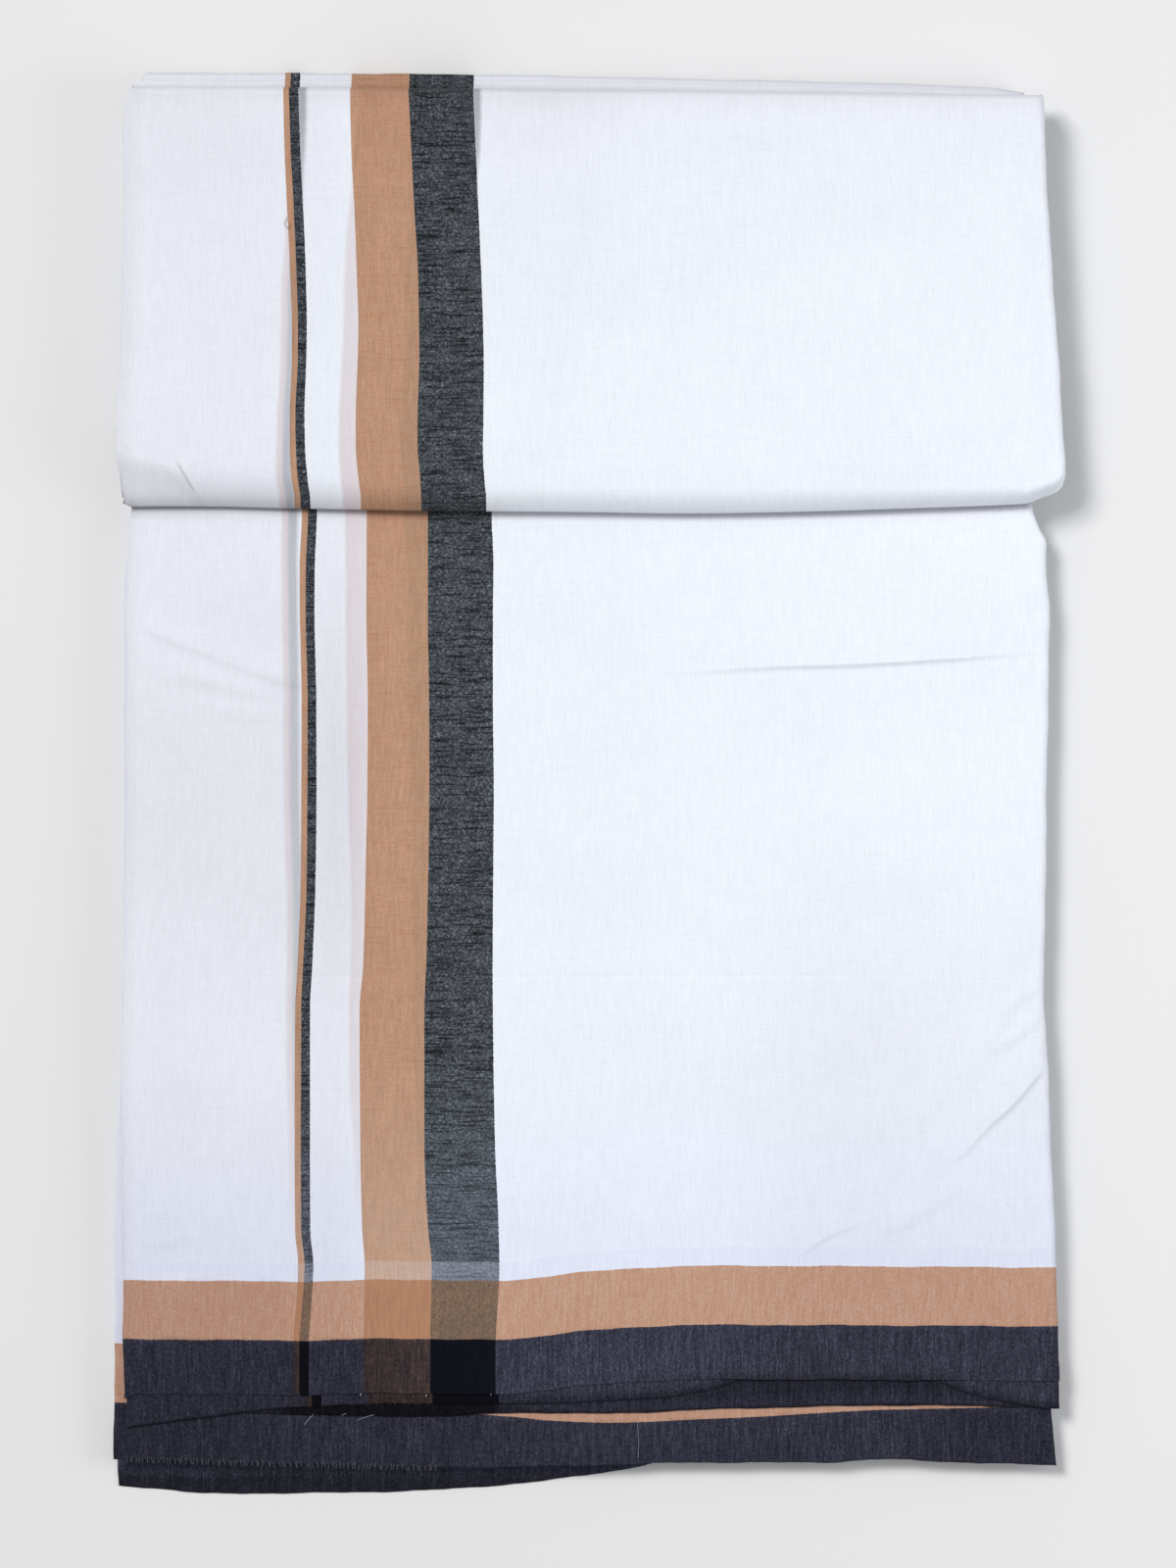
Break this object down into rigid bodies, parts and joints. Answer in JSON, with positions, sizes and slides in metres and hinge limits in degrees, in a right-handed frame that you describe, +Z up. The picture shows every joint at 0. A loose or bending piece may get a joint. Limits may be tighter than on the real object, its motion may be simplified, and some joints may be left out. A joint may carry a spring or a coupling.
{
  "type": "folded dhoti cloth",
  "caption": "Folded white cotton dhoti lying flat, its upper end turned down over the front, with woven brown and black borders.",
  "frame": {"origin": "bottom centre of the pile's box, on the surface it lies on", "axes": "+X to the right, +Y up the pile towards its turned-down end, +Z up from the surface"},
  "size_m": [0.3262, 0.4888, 0.0232],
  "materials": {
    "striped_cloth": "plain-woven white cotton with a brown and a black warp stripe",
    "border_cloth": "plain-woven cotton end border, black weft on white warp",
    "plain_cloth": "plain-woven white cotton, folded edges"
  },
  "bodies": {
    "root": {"lowest_ply": "border_cloth", "hidden_layers": "plain_cloth", "fourth_ply": "border_cloth", "third_ply": "border_cloth", "second_ply": "border_cloth", "front_panel": "striped_cloth", "flap": "striped_cloth", "top_fold_outer": "striped_cloth", "top_fold_inner": "striped_cloth"}
  },
  "joints": []
}
